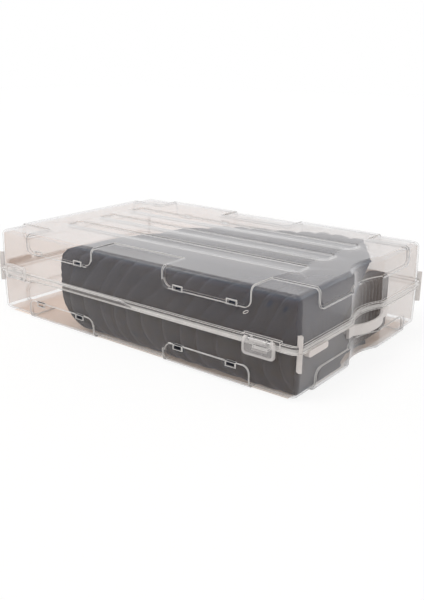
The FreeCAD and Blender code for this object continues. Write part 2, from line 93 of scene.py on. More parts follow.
@dataclass
class Tree:
    """A thin wrapper round a node tree that adds and links nodes by name."""

    tree: bpy.types.NodeTree

    def add(self, kind: str, **settings: object) -> bpy.types.Node:
        """Add a node and set its properties and, by socket name, its input values.

        Args:
            kind: The node's type name.
            settings: Properties of the node, or inputs written with _ for a space.

        Returns:
            The new node.
        """
        node = self.tree.nodes.new(kind)
        for name, value in settings.items():
            if hasattr(node, name):
                setattr(node, name, value)
            else:
                node.inputs[name.replace("_", " ")].default_value = value
        return node

    def link(self, source: bpy.types.NodeSocket, target: bpy.types.NodeSocket) -> None:
        """Join an output to an input."""
        self.tree.links.new(source, target)

    def maths(self, operation: str, first: object, second: object = 0.5, third: object = 0.0,
              clamp: bool = False) -> bpy.types.NodeSocket:
        """Add a Math node.

        Args:
            operation: Its operation.
            first: A number or an output for the first input.
            second: The same for the second input.
            third: The same for the third input.
            clamp: Whether the result stays from 0 to 1.

        Returns:
            The node's output.
        """
        node = self.tree.nodes.new("ShaderNodeMath")
        node.operation = operation
        node.use_clamp = clamp
        for socket, value in zip(node.inputs, (first, second, third)):
            if isinstance(value, bpy.types.NodeSocket):
                self.link(value, socket)
            else:
                socket.default_value = value
        return node.outputs[0]

    def tinted(self, mask: bpy.types.NodeSocket, low: object, high: object) -> bpy.types.NodeSocket:
        """Mix two colours.

        Args:
            mask: What mixes them.
            low: A colour or an output, for where the mask is 0.
            high: The same for where it is 1.

        Returns:
            The mixed colour.
        """
        node = self.add("ShaderNodeMix", data_type="RGBA")
        for label, value in (("A", low), ("B", high)):
            if isinstance(value, bpy.types.NodeSocket):
                self.link(value, node.inputs[label])
            else:
                node.inputs[label].default_value = (*value, 1.0)
        self.link(mask, node.inputs["Factor"])
        return node.outputs["Result"]

    def bumped(self, shader: bpy.types.Node, height: bpy.types.NodeSocket, strength: float,
               distance: float) -> None:
        """Let a height bump a shader's surface.

        Args:
            shader: The shader.
            height: The height, from 0 to 1.
            strength: How much the bump counts.
            distance: How high it stands, in metres.
        """
        bump = self.add("ShaderNodeBump", Strength=strength, Distance=distance)
        self.link(height, bump.inputs["Height"])
        self.link(bump.outputs["Normal"], shader.inputs["Normal"])


Started = tuple[Tree, bpy.types.Node, bpy.types.Node]


def new_group(name: str, inputs: dict[str, float], outputs: Sequence[str]) -> Started:
    """Start a shader node group with float sockets.

    Args:
        name: Its name.
        inputs: Input names with their usual values.
        outputs: Output names.

    Returns:
        The tree with its input and output nodes.
    """
    group = bpy.data.node_groups.new(name, "ShaderNodeTree")
    for label, value in inputs.items():
        socket = group.interface.new_socket(label, in_out="INPUT", socket_type="NodeSocketFloat")
        socket.default_value = value
    for label in outputs:
        group.interface.new_socket(label, in_out="OUTPUT", socket_type="NodeSocketFloat")
    tree = Tree(group)
    return tree, tree.add("NodeGroupInput"), tree.add("NodeGroupOutput")


def make_clouding() -> bpy.types.NodeTree:
    """The uneven haze of thin moulded plastic.

    Returns:
        A group with Haze, a soft mask from 0 to 1, and Flow, a height for the slight ripple.
    """
    tree, start, end = new_group("moulded_clouding", {"Scale": 9.0, "Ripple": 60.0}, ("Haze", "Flow"))
    place = tree.add("ShaderNodeTexCoord")
    stretch = tree.add("ShaderNodeMapping")
    stretch.inputs["Scale"].default_value = (0.55, 1.0, 1.6)
    tree.link(place.outputs["Object"], stretch.inputs["Vector"])
    broad = tree.add("ShaderNodeTexNoise", Detail=3.0, Roughness=0.55, Distortion=0.6)
    tree.link(stretch.outputs["Vector"], broad.inputs["Vector"])
    tree.link(start.outputs["Scale"], broad.inputs["Scale"])
    fine = tree.add("ShaderNodeTexNoise", Detail=2.0, Roughness=0.5)
    tree.link(place.outputs["Object"], fine.inputs["Vector"])
    tree.link(start.outputs["Ripple"], fine.inputs["Scale"])
    haze = tree.maths("MULTIPLY_ADD", broad.outputs["Fac"], 2.2, -0.6, clamp=True)
    kept = tree.maths("MULTIPLY", haze, 0.75)
    mixed = tree.maths("MULTIPLY_ADD", fine.outputs["Fac"], 0.25, kept, clamp=True)
    tree.link(mixed, end.inputs["Haze"])
    flow = tree.maths("MULTIPLY_ADD", fine.outputs["Fac"], 0.3, broad.outputs["Fac"])
    tree.link(flow, end.inputs["Flow"])
    return tree.tree


def make_scuffs() -> bpy.types.NodeTree:
    """Fine scratches and rubbed spots from handling.

    Returns:
        A group with Scratch, a thin-line mask, and Rub, a patchy mask.
    """
    tree, start, end = new_group("handling_scuffs", {"Scale": 26.0, "Amount": 0.5}, ("Scratch", "Rub"))
    place = tree.add("ShaderNodeTexCoord")
    masks = []
    for turn, squeeze in ((0.35, (1.0, 9.0, 5.0)), (1.35, (8.0, 1.2, 4.0))):
        lay = tree.add("ShaderNodeMapping")
        lay.inputs["Rotation"].default_value = (0.2, 0.1, turn)
        lay.inputs["Scale"].default_value = squeeze
        tree.link(place.outputs["Object"], lay.inputs["Vector"])
        line = tree.add("ShaderNodeTexNoise", Detail=1.0, Roughness=0.4)
        tree.link(lay.outputs["Vector"], line.inputs["Vector"])
        tree.link(start.outputs["Scale"], line.inputs["Scale"])
        ridge = tree.maths("ABSOLUTE", tree.maths("SUBTRACT", line.outputs["Fac"], 0.5))
        masks.append(tree.maths("MULTIPLY_ADD", ridge, -160.0, 1.0, clamp=True))
    patch = tree.add("ShaderNodeTexNoise", Detail=4.0, Roughness=0.6)
    tree.link(place.outputs["Object"], patch.inputs["Vector"])
    tree.link(start.outputs["Scale"], patch.inputs["Scale"])
    rub = tree.maths("MULTIPLY_ADD", patch.outputs["Fac"], 4.0, -2.1, clamp=True)
    crossed = tree.maths("MULTIPLY", tree.maths("MAXIMUM", *masks), rub)
    tree.link(tree.maths("MULTIPLY", crossed, start.outputs["Amount"]), end.inputs["Scratch"])
    tree.link(tree.maths("MULTIPLY", rub, start.outputs["Amount"]), end.inputs["Rub"])
    return tree.tree


def make_knit() -> bpy.types.NodeTree:
    """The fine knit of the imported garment.

    Returns:
        A group with Stitch, the height of the knit, and Lint, a mask of paler fluff.
    """
    tree, start, end = new_group("fine_knit", {"Scale": 420.0}, ("Stitch", "Lint"))
    place = tree.add("ShaderNodeTexCoord")
    wales = tree.add("ShaderNodeTexWave", wave_type="BANDS", bands_direction="X", Distortion=0.8)
    rows = tree.add("ShaderNodeTexWave", wave_type="BANDS", bands_direction="Z", Distortion=0.8)
    for wave in (wales, rows):
        tree.link(place.outputs["Object"], wave.inputs["Vector"])
        tree.link(start.outputs["Scale"], wave.inputs["Scale"])
    tree.link(tree.maths("MULTIPLY", wales.outputs["Fac"], rows.outputs["Fac"]), end.inputs["Stitch"])
    fluff = tree.add("ShaderNodeTexNoise", Scale=90.0, Detail=6.0, Roughness=0.7)
    tree.link(place.outputs["Object"], fluff.inputs["Vector"])
    tree.link(tree.maths("MULTIPLY_ADD", fluff.outputs["Fac"], 3.0, -1.2, clamp=True), end.inputs["Lint"])
    return tree.tree


# ------------------------------------------------------------------ finishes

def kept_group(name: str, maker: Callable[[], bpy.types.NodeTree]) -> bpy.types.NodeTree:
    """A node group by name, made the first time it is asked for."""
    return bpy.data.node_groups.get(name) or maker()


def new_surface(name: str, ior: float = 1.5) -> tuple[Tree, bpy.types.Node]:
    """Start a material whose surface is one Principled BSDF.

    Args:
        name: The material's name.
        ior: How strongly the surface bends light.

    Returns:
        The material's tree and its shader.
    """
    made = bpy.data.materials.new(name)
    made.use_nodes = True
    made.node_tree.nodes.clear()
    tree = Tree(made.node_tree)
    out = tree.add("ShaderNodeOutputMaterial")
    shader = tree.add("ShaderNodeBsdfPrincipled", IOR=ior)
    tree.link(shader.outputs["BSDF"], out.inputs["Surface"])
    return tree, shader


@dataclass(frozen=True)
class Finish:
    """A named finish, whose material is built once."""

    name: str

    def material(self) -> bpy.types.Material:
        """The material, built the first time it is asked for."""
        if self.name not in bpy.data.materials:
            self.build()
        return bpy.data.materials[self.name]

    def build(self) -> None:
        """Build the material."""
        raise NotImplementedError


@dataclass(frozen=True)
class ClearPlastic(Finish):
    """Clear moulded plastic whose haze grows where it is seen along the wall."""

    colour: Colour
    deep: Colour
    face_on: float
    grazing: float
    turn: float = 3.0
    roughness: float = 0.16
    ripple: float = 0.05
    scuff: float = 0.06
    from_behind: float = 1.0

    def build(self) -> None:
        """Build the material."""
        tree, shader = new_surface(self.name, PLASTIC_IOR)
        cloud = tree.add("ShaderNodeGroup", node_tree=kept_group("moulded_clouding", make_clouding))
        scuffs = tree.add("ShaderNodeGroup", node_tree=kept_group("handling_scuffs", make_scuffs))
        scuffs.inputs["Amount"].default_value = self.scuff
        tree.link(tree.tinted(cloud.outputs["Haze"], self.deep, self.colour), shader.inputs["Base Color"])
        facing = tree.add("ShaderNodeLayerWeight", Blend=0.5).outputs["Facing"]
        edge = tree.maths("POWER", facing, self.turn)
        body = tree.maths("MULTIPLY_ADD", edge, self.grazing, self.face_on)
        hazed = tree.maths("MULTIPLY_ADD", cloud.outputs["Haze"], self.face_on * 0.5, body)
        worn = tree.maths("MULTIPLY_ADD", scuffs.outputs["Scratch"], 0.16, hazed, clamp=True)
        if self.from_behind < 1.0:
            behind = tree.add("ShaderNodeNewGeometry").outputs["Backfacing"]
            share = tree.maths("MULTIPLY_ADD", behind, self.from_behind - 1.0, 1.0)
            worn = tree.maths("MULTIPLY", worn, share, clamp=True)
        tree.link(worn, shader.inputs["Alpha"])
        rough = tree.maths("MULTIPLY_ADD", scuffs.outputs["Rub"], 0.3, self.roughness, clamp=True)
        tree.link(rough, shader.inputs["Roughness"])
        tree.bumped(shader, cloud.outputs["Flow"], self.ripple, 4.0 * MM)


@dataclass(frozen=True)
class MilkyPlastic(Finish):
    """Whitish softer plastic that lets a little light through."""

    colour: Colour
    shade: Colour
    solid: float
    roughness: float = 0.38
    grain: float = 0.12

    def build(self) -> None:
        """Build the material."""
        tree, shader = new_surface(self.name, PLASTIC_IOR)
        cloud = tree.add("ShaderNodeGroup", node_tree=kept_group("moulded_clouding", make_clouding))
        cloud.inputs["Scale"].default_value = 45.0
        cloud.inputs["Ripple"].default_value = 900.0
        scuffs = tree.add("ShaderNodeGroup", node_tree=kept_group("handling_scuffs", make_scuffs))
        scuffs.inputs["Scale"].default_value = 60.0
        tree.link(tree.tinted(cloud.outputs["Haze"], self.shade, self.colour), shader.inputs["Base Color"])
        if self.solid < 1.0:
            facing = tree.add("ShaderNodeLayerWeight", Blend=0.5).outputs["Facing"]
            body = tree.maths("MULTIPLY_ADD", facing, 0.4 * (1.0 - self.solid), self.solid, clamp=True)
            tree.link(body, shader.inputs["Alpha"])
        rough = tree.maths("MULTIPLY_ADD", scuffs.outputs["Rub"], 0.25, self.roughness, clamp=True)
        tree.link(rough, shader.inputs["Roughness"])
        tree.bumped(shader, cloud.outputs["Flow"], self.grain, 0.8 * MM)


@dataclass(frozen=True)
class SteelWire(Finish):
    """Bright drawn steel wire, for the pins."""

    colour: Colour
    rubbed: float = 0.7

    def build(self) -> None:
        """Build the material."""
        tree, shader = new_surface(self.name)
        shader.inputs["Metallic"].default_value = 1.0
        scuffs = tree.add("ShaderNodeGroup", node_tree=kept_group("handling_scuffs", make_scuffs))
        scuffs.inputs["Scale"].default_value = 240.0
        dull = tuple(self.rubbed * part for part in self.colour)
        tree.link(tree.tinted(scuffs.outputs["Rub"], self.colour, dull), shader.inputs["Base Color"])
        rough = tree.maths("MULTIPLY_ADD", scuffs.outputs["Scratch"], 0.3, 0.24)
        tree.link(rough, shader.inputs["Roughness"])


@dataclass(frozen=True)
class KnitCloth(Finish):
    """Dark knitted cloth, for the garment packed in the case."""

    colour: Colour
    lint: Colour
    foot: Colour
    turn_height: float = 52.0 * MM
    turn_rate: float = 60.0
    sheen: float = 0.2
    sheen_tint: Colour = (0.62, 0.76, 1.0)

    def build(self) -> None:
        """Build the material."""
        tree, shader = new_surface(self.name)
        shader.inputs["Roughness"].default_value = 0.85
        shader.inputs["Sheen Weight"].default_value = self.sheen
        shader.inputs["Sheen Tint"].default_value = (*self.sheen_tint, 1.0)
        knit = tree.add("ShaderNodeGroup", node_tree=kept_group("fine_knit", make_knit))
        place = tree.add("ShaderNodeTexCoord")
        parts = tree.add("ShaderNodeSeparateXYZ")
        tree.link(place.outputs["Object"], parts.inputs["Vector"])
        height = tree.maths("MULTIPLY_ADD", parts.outputs["Z"], self.turn_rate,
                            -self.turn_rate * self.turn_height, clamp=True)
        ground = tree.tinted(height, self.foot, self.colour)
        tree.link(tree.tinted(knit.outputs["Lint"], ground, self.lint), shader.inputs["Base Color"])
        tree.bumped(shader, knit.outputs["Stitch"], 0.5, 0.8 * MM)


CLEAR = ClearPlastic("clear_wall", (0.74, 0.74, 0.75), (0.70, 0.70, 0.72), 0.032, 1.0)
CAVITY = ClearPlastic("clear_inside", (0.95, 0.72, 0.58), (0.90, 0.68, 0.54), 0.36, 0.4, from_behind=0.10)
RIM_BAND = ClearPlastic("clear_rim_band", (0.90, 0.87, 0.85), (0.84, 0.81, 0.79), 0.08, 0.5, 2.0, 0.3)
# Painted highlight: narrow strips of the wall, such as the panels' steps and the rim, get this near-white
# finish in place of the light that the clear plastic gathers at its edges.
EDGE_HIGHLIGHT = MilkyPlastic("lit_edge", (0.97, 0.95, 0.93), (0.92, 0.90, 0.88), 0.44, 0.3)
# Painted highlight: near-white beads along the shells' outer edges, and on the gate mark's ring, stand in
# for the light that the clear plastic gathers and lets out at its edges.
HIGHLIGHT_BEAD = MilkyPlastic("painted_edge_highlight", (0.98, 0.96, 0.94), (0.95, 0.93, 0.91), 0.66, 0.25)
LATCH_FACE = ClearPlastic("latch_face", (0.86, 0.84, 0.83), (0.78, 0.76, 0.76), 0.12, 0.4, 2.0, 0.2)
LATCH_BORDER = MilkyPlastic("latch_border", (0.84, 0.81, 0.79), (0.76, 0.73, 0.72), 0.36)
GRIP = MilkyPlastic("milky_strap", (0.70, 0.66, 0.64), (0.61, 0.58, 0.57), 0.78, 0.34)
# Painted shade: the slots' long faces are near black. This stands in for the shade and the dark garment
# seen through the slots, not for a colour of the clear plastic.
SLOT_PAINTED_SHADE = MilkyPlastic("slot_painted_shade", (0.03, 0.03, 0.035), (0.025, 0.025, 0.03), 0.94, 0.3)
BUMPER = MilkyPlastic("bumper_plastic", (0.72, 0.68, 0.66), (0.64, 0.60, 0.58), 0.66, 0.4)
TAB = MilkyPlastic("white_tab", (0.80, 0.74, 0.71), (0.72, 0.67, 0.65), 0.66, 0.4)
STEEL = SteelWire("pin_wire", (0.62, 0.61, 0.60))
DARK_KNIT = KnitCloth("dark_knit", (0.003, 0.009, 0.028), (0.009, 0.016, 0.038), (0.012, 0.010, 0.010))
CUFF_KNIT = KnitCloth("cuff_knit", (0.080, 0.066, 0.060), (0.130, 0.112, 0.102), (0.090, 0.074, 0.066))


# ------------------------------------------------------------------ meshes

def link_mesh(name: str, mesh: bpy.types.Mesh) -> bpy.types.Object:
    """A new object for a mesh, in the scene's own collection."""
    made = bpy.data.objects.new(name, mesh)
    bpy.context.scene.collection.objects.link(made)
    return made


def merged_copy(node: bpy.types.Object, name: str, crease: float) -> bpy.types.Object:
    """A smooth copy of a CAD node, its loose triangles joined and its creases kept sharp.

    Args:
        node: The CAD node.
        name: The copy's name.
        crease: The angle in degrees past which an edge stays sharp.

    Returns:
        The copy.
    """
    form = bmesh.new()
    form.from_mesh(node.data)
    bmesh.ops.remove_doubles(form, verts=form.verts, dist=MERGE_DISTANCE)
    mesh = bpy.data.meshes.new(name)
    form.to_mesh(mesh)
    form.free()
    mesh.materials.clear()
    mesh.shade_smooth()
    mesh.set_sharp_from_angle(angle=math.radians(crease))
    return link_mesh(name, mesh)


def smooth_patches(form: bmesh.types.BMesh, crease: float) -> list[list[bmesh.types.BMFace]]:
    """Groups of faces that join without a crease.

    Args:
        form: The mesh.
        crease: The angle in degrees past which faces are apart.

    Returns:
        The groups.
    """
    limit, seen, patches = math.radians(crease), set(), []
    for first in form.faces:
        if first.index in seen:
            continue
        seen.add(first.index)
        patch, waiting = [], [first]
        while waiting:
            face = waiting.pop()
            patch.append(face)
            for edge in face.edges:
                if len(edge.link_faces) != 2 or edge.calc_face_angle(0.0) > limit:
                    continue
                for other in edge.link_faces:
                    if other.index not in seen:
                        seen.add(other.index)
                        waiting.append(other)
        patches.append(patch)
    return patches


def mean_width(patch: Sequence[bmesh.types.BMFace]) -> float:
    """Twice a patch's area over the length of its border, which is the width of a long strip.

    Args:
        patch: Faces that join without a crease.

    Returns:
        The width in metres.
    """
    inside = {face.index for face in patch}
    border = sum(edge.calc_length() for face in patch for edge in face.edges
                 if sum(other.index in inside for other in edge.link_faces) == 1)
    return 2.0 * sum(face.calc_area() for face in patch) / max(border, 1e-9)


def longest(patch: Sequence[bmesh.types.BMFace]) -> float:
    """The longest side of a patch's box."""
    points = [corner.co for face in patch for corner in face.verts]
    return max(max(line) - min(line) for line in zip(*points))


def outwardness(faces: Sequence[bmesh.types.BMFace], middle: Vector) -> float:
    """How far faces look away from a point inside the case.

    Args:
        faces: The faces.
        middle: The point.

    Returns:
        A sum by area, which is below 0 for the cavity's skin.
    """
    total = 0.0
    for face in faces:
        away = Vector([math.copysign(1.0, part) for part in face.calc_center_median() - middle])
        total += face.calc_area() * face.normal.dot(away)
    return total


def is_reveal(patch: Sequence[bmesh.types.BMFace]) -> bool:
    """Whether a patch is the long, level face of a slot through a side wall."""
    level = all(abs(face.normal.z) > REVEAL_LEVEL for face in patch)
    return (level and REVEAL_LENGTH[0] < longest(patch) < REVEAL_LENGTH[1]
            and REVEAL_WIDTH[0] < mean_width(patch) < REVEAL_WIDTH[1])


def even_normals(piece: bpy.types.Object) -> None:
    """Weigh a piece's normals by face area, so that its broad walls shade flat beside their fillets.

    Args:
        piece: The piece, whose mesh is replaced by the weighted one.
    """
    modifier = piece.modifiers.new("even", "WEIGHTED_NORMAL")
    modifier.mode, modifier.weight, modifier.keep_sharp = "FACE_AREA", AREA_WEIGHT, True
    bpy.context.view_layer.update()
    graph = bpy.context.evaluated_depsgraph_get()
    mesh = bpy.data.meshes.new_from_object(piece.evaluated_get(graph), depsgraph=graph)
    piece.modifiers.remove(modifier)
    mesh.name, piece.data = piece.data.name + "_even", mesh


def dress_by_width(piece: bpy.types.Object, crease: float, finishes: Sequence[tuple[float, Finish]],
                   inside: Optional[Finish] = None, reveal: Optional[Finish] = None) -> None:
    """Give each smooth patch the first finish whose width it stays under.

    Args:
        piece: The piece.
        crease: The angle in degrees that parts two patches.
        finishes: Pairs of a width in metres and a finish, from narrow to wide.
        inside: The finish of the cavity's skin, where the piece has one.
        reveal: The finish of the slots' long faces, where the piece has slots; a near-black painted shade
            for the dark seen through them.
    """
    for _, finish in finishes:
        piece.data.materials.append(finish.material())
    for finish in (inside, reveal):
        if finish is not None:
            piece.data.materials.append(finish.material())
    form = bmesh.new()
    form.from_mesh(piece.data)
    form.faces.ensure_lookup_table()
    form.faces.index_update()
    broad = len(finishes) - 1
    for patch in smooth_patches(form, crease):
        width = mean_width(patch)
        slot = next(number for number, (limit, _) in enumerate(finishes) if width < limit)
        if reveal is not None and is_reveal(patch):
            slot = len(finishes) + 1
        elif inside is not None and outwardness(patch, MIDDLE) < 0.0:
            slot = len(finishes) if slot == broad else broad
        elif inside is not None and longest(patch) < SMALL_PATCH:
            slot = broad
        for face in patch:
            face.material_index = slot
    form.to_mesh(piece.data)
    form.free()
    even_normals(piece)


def outer_edges(piece: bpy.types.Object, crease: float, middle: Vector, sink: float) -> bpy.types.Mesh:
    """The sharp edges on a shell's outer skin, as a mesh of edges alone.

    Args:
        piece: The shell's copy.
        crease: The angle in degrees past which an edge counts.
        middle: A point inside the case.
        sink: How far the lines lie below the skin.

    Returns:
        The edges' mesh.
    """
    form = bmesh.new()
    form.from_mesh(piece.data)
    limit, lines = math.radians(crease), []
    for edge in form.edges:
        if len(edge.link_faces) != 2 or edge.calc_face_angle(0.0) < limit:
            continue
        outward = [outwardness([face], middle) / max(face.calc_area(), 1e-12) for face in edge.link_faces]
        if max(outward, key=abs) > 0.0:
            lines.append(edge)
    points: dict[int, int] = {}
    places, pairs = [], []
    for edge in lines:
        for corner in edge.verts:
            if corner.index not in points:
                points[corner.index] = len(places)
                places.append(corner.co - corner.normal * sink)
        pairs.append(tuple(points[corner.index] for corner in edge.verts))
    mesh = bpy.data.meshes.new(piece.name + "_lines")
    mesh.from_pydata(places, pairs, [])
    form.free()
    return mesh


# ------------------------------------------------------------------ geometry nodes

def new_geometry_group(name: str, inputs: dict[str, tuple[str, object]]) -> Started:
    """Start a geometry node group.

    Args:
        name: Its name.
        inputs: Names of further inputs, each with its socket type and value.

    Returns:
        The tree with its input and output nodes.
    """
    group = bpy.data.node_groups.new(name, "GeometryNodeTree")
    group.interface.new_socket("Geometry", in_out="INPUT", socket_type="NodeSocketGeometry")
    for label, (kind, value) in inputs.items():
        socket = group.interface.new_socket(label, in_out="INPUT", socket_type=kind)
        if value is not None:
            socket.default_value = value
    group.interface.new_socket("Geometry", in_out="OUTPUT", socket_type="NodeSocketGeometry")
    tree = Tree(group)
    return tree, tree.add("NodeGroupInput"), tree.add("NodeGroupOutput")


def close_tree(started: Started, shape: bpy.types.NodeSocket) -> bpy.types.NodeTree:
    """End a geometry tree, its instances made real and dressed in its Finish input.

    Args:
        started: The tree with its input and output nodes.
        shape: The geometry that it gives.

    Returns:
        The whole tree.
    """
    tree, start, end = started
    real = tree.add("GeometryNodeRealizeInstances")
    dress = tree.add("GeometryNodeSetMaterial")
    tree.link(shape, real.inputs["Geometry"])
    tree.link(real.outputs["Geometry"], dress.inputs["Geometry"])
    tree.link(start.outputs["Finish"], dress.inputs["Material"])
    tree.link(dress.outputs["Geometry"], end.inputs["Geometry"])
    return tree.tree


def bead_tree() -> bpy.types.NodeTree:
    """A round bead along each edge of the mesh it is given."""
    tree, start, end = new_geometry_group("edge_highlight_beads", {
        "Bead radius": ("NodeSocketFloat", 0.4 * MM), "Sides": ("NodeSocketInt", 6),
        "Finish": ("NodeSocketMaterial", None)})
    line = tree.add("GeometryNodeMeshToCurve")
    ring = tree.add("GeometryNodeCurvePrimitiveCircle")
    sweep = tree.add("GeometryNodeCurveToMesh")
    tree.link(start.outputs["Geometry"], line.inputs["Mesh"])
    tree.link(start.outputs["Bead radius"], ring.inputs["Radius"])
    tree.link(start.outputs["Sides"], ring.inputs["Resolution"])
    tree.link(line.outputs["Curve"], sweep.inputs["Curve"])
    tree.link(ring.outputs["Curve"], sweep.inputs["Profile Curve"])
    return close_tree((tree, start, end), sweep.outputs["Mesh"])


def ring_tree() -> bpy.types.NodeTree:
    """A low moulded ring at each point of the mesh it is given, facing along the point's normal."""
    tree, start, end = new_geometry_group("moulded_rings", {
        "Ring radius": ("NodeSocketFloat", 2.6 * MM), "Bead radius": ("NodeSocketFloat", 0.3 * MM),
        "Finish": ("NodeSocketMaterial", None)})
    ring = tree.add("GeometryNodeCurvePrimitiveCircle", Resolution=28)
    bead = tree.add("GeometryNodeCurvePrimitiveCircle", Resolution=8)
    sweep = tree.add("GeometryNodeCurveToMesh")
    spread = tree.add("GeometryNodeInstanceOnPoints")
    turn = tree.add("FunctionNodeAlignRotationToVector", axis="Z")
    normal = tree.add("GeometryNodeInputNormal")
    tree.link(start.outputs["Ring radius"], ring.inputs["Radius"])
    tree.link(start.outputs["Bead radius"], bead.inputs["Radius"])
    tree.link(ring.outputs["Curve"], sweep.inputs["Curve"])
    tree.link(bead.outputs["Curve"], sweep.inputs["Profile Curve"])
    tree.link(start.outputs["Geometry"], spread.inputs["Points"])
    tree.link(sweep.outputs["Mesh"], spread.inputs["Instance"])
    tree.link(normal.outputs["Normal"], turn.inputs["Vector"])
    tree.link(turn.outputs["Rotation"], spread.inputs["Rotation"])
    return close_tree((tree, start, end), spread.outputs["Instances"])


def grown(name: str, seed: bpy.types.Mesh, tree: bpy.types.NodeTree,
          values: dict[str, object]) -> bpy.types.Object:
    """Run a geometry node tree on a mesh and keep the result as a plain mesh.

    Args:
        name: The new piece's name.
        seed: The mesh that the tree starts from.
        tree: The geometry node tree.
        values: Its inputs by name.

    Returns:
        The finished piece.
    """
    carrier = link_mesh(name + "_seed", seed)
    modifier = carrier.modifiers.new("grow", "NODES")
    modifier.node_group = tree
    sockets = {item.name: item.identifier for item in tree.interface.items_tree
               if item.item_type == "SOCKET" and item.in_out == "INPUT"}
    for label, value in values.items():
        modifier[sockets[label]] = value
    bpy.context.view_layer.update()
    graph = bpy.context.evaluated_depsgraph_get()
    mesh = bpy.data.meshes.new_from_object(carrier.evaluated_get(graph), depsgraph=graph)
    mesh.name = name
    bpy.data.objects.remove(carrier)
    mesh.shade_smooth()
    return link_mesh(name, mesh)


# ------------------------------------------------------------------ the case

@dataclass
class Shell:
    """One clear half: its wall and rim band, with painted highlights on its narrow edge strips and along
    its moulded outer edges, and painted shade on its slots' long faces.
    """

    half: Half
    crease: float = 28.0
    edge_width: float = 3.0 * MM
    band_width: float = 7.5 * MM
    line_crease: float = 48.0
    bead_radius: float = 0.28 * MM
    bead_sides: int = 6
    bead_sink: float = 1.45

    def wall(self, frame: dict) -> bpy.types.Object:
        """The wall, which stands for the half's CAD node.


        Returns:
            The dressed wall.
        """
        node = self.half.value + "_shell"
        made = merged_copy(frame["nodes"][node], self.half.value + "_wall", self.crease)
        # Strips narrower than edge_width take the near-white painted highlight finish.
        widths = ((self.edge_width, EDGE_HIGHLIGHT), (self.band_width, RIM_BAND), (math.inf, CLEAR))
        # The slots' long faces take the near-black painted shade.
        dress_by_width(made, self.crease, widths, CAVITY, SLOT_PAINTED_SHADE)
        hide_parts(node)
        return made

    def beads(self, wall: bpy.types.Object) -> bpy.types.Object:
        """The painted highlight lines along the wall's outer edges: near-white beads sunk just below its
        skin.

        Args:
            wall: The dressed wall.

        Returns:
            The beads as one piece.
        """
        lines = outer_edges(wall, self.line_crease, MIDDLE, self.bead_sink * self.bead_radius)
        return grown(self.half.value + "_edge_highlight_beads", lines, kept_group("edge_highlight_beads", bead_tree),
                     {"Bead radius": self.bead_radius, "Sides": self.bead_sides, "Finish": HIGHLIGHT_BEAD.material()})

    def build(self, frame: dict) -> None:
        """Make the wall and its beads, and let them ride on the half's body.
        """
        wall = self.wall(frame)
        for piece in (wall, self.beads(wall)):
            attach(piece, self.half.value)
            LOG.info("%s: %d faces", piece.name, len(piece.data.polygons))


@dataclass
class GateMark:
    """The small ring that moulding leaves on the front of the lid."""

    half: Half = Half.LID
    place: tuple[float, float, float] = (166.0 * MM, -147.6 * MM, 82.5 * MM)
    ring_radius: float = 2.7 * MM
    bead_radius: float = 0.35 * MM

    def build(self) -> None:
        """Make the ring, facing the front."""
        seed = bpy.data.meshes.new("mark")
        seed.from_pydata([self.place], [], [])
        # The ring takes the near-white painted highlight finish of the edge beads.
        ring = grown(self.half.value + "_gate_mark", seed, kept_group("moulded_rings", ring_tree),
                     {"Ring radius": self.ring_radius, "Bead radius": self.bead_radius,
                      "Finish": HIGHLIGHT_BEAD.material()})
        middle = Matrix.Translation(Vector(self.place))
        turn = Matrix.Rotation(math.radians(90.0), 4, "X")
        ring.data.transform(middle @ turn @ middle.inverted())
        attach(ring, self.half.value)
        LOG.info("%s: %d faces", ring.name, len(ring.data.polygons))


@dataclass
class Latch:
    """A hinged flap with a clear face and a thick milky border."""

    side: str
    crease: float = 30.0
    border_width: float = 3.4 * MM

    def build(self, frame: dict) -> None:
        """Make the flap and let it ride on its own body.
        """
        node = f"latch_flap_{self.side}"
        flap = merged_copy(frame["nodes"][node], f"flap_{self.side}", self.crease)
        dress_by_width(flap, self.crease, ((self.border_width, LATCH_BORDER), (math.inf, LATCH_FACE)))
        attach(flap, f"latch_{self.side}")
        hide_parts(node)
        LOG.info("%s: %d faces", flap.name, len(flap.data.polygons))


@dataclass
class Strap:
    """The bowed carrying grip."""

    crease: float = 25.0

    def build(self, frame: dict) -> None:
        """Make the strap and let it ride on the base.
        """
        strap = merged_copy(frame["nodes"]["handle_grip"], "grip_strap", self.crease)
        strap.data.materials.append(GRIP.material())
        even_normals(strap)
        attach(strap, Half.BASE.value)
        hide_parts("handle_grip")
        LOG.info("%s: %d faces", strap.name, len(strap.data.polygons))


@dataclass
class SmallPieces:
    """The bumpers, tabs and pins, which keep their CAD shape and get their own finish."""

    finishes: dict[str, Finish] = field(default_factory=lambda: {
        "bumper": BUMPER, "tab": TAB, "hinge_pin": STEEL, "latch_pin": STEEL})

    def build(self, frame: dict) -> None:
        """Dress each small node by the word in its name.
        """
        for name, node in frame["nodes"].items():
            for word, finish in self.finishes.items():
                if word in name:
                    node.data.materials.clear()
                    node.data.materials.append(finish.material())
                    LOG.info("%s: %s", name, finish.name)


# ------------------------------------------------------------------ what lies in it, and the studio

def close_skin(name: str, rows: list[list[Vector]], finish: KnitCloth) -> None:
    """Skin rings of points and close both ends.

    Args:
        name: The object's name.
        rows: Rings of points, all of one length.
        finish: Its cloth.
    """
    form = bmesh.new()
    rings = [[form.verts.new(point) for point in row] for row in rows]
    for low, high in zip(rings, rings[1:]):
        for place in range(len(low)):
            last = place - 1
            form.faces.new((low[last], low[place], high[place], high[last]))
    form.faces.new(list(reversed(rings[0])))
    form.faces.new(rings[-1])
    bmesh.ops.recalc_face_normals(form, faces=form.faces)
    mesh = bpy.data.meshes.new(name)
    form.to_mesh(mesh)
    form.free()
    mesh.shade_smooth()
    mesh.set_sharp_from_angle(angle=math.radians(SKIN_CREASE))
    mesh.materials.append(finish.material())
    link_mesh(name, mesh)
    LOG.info("%s: %d faces", name, len(mesh.polygons))


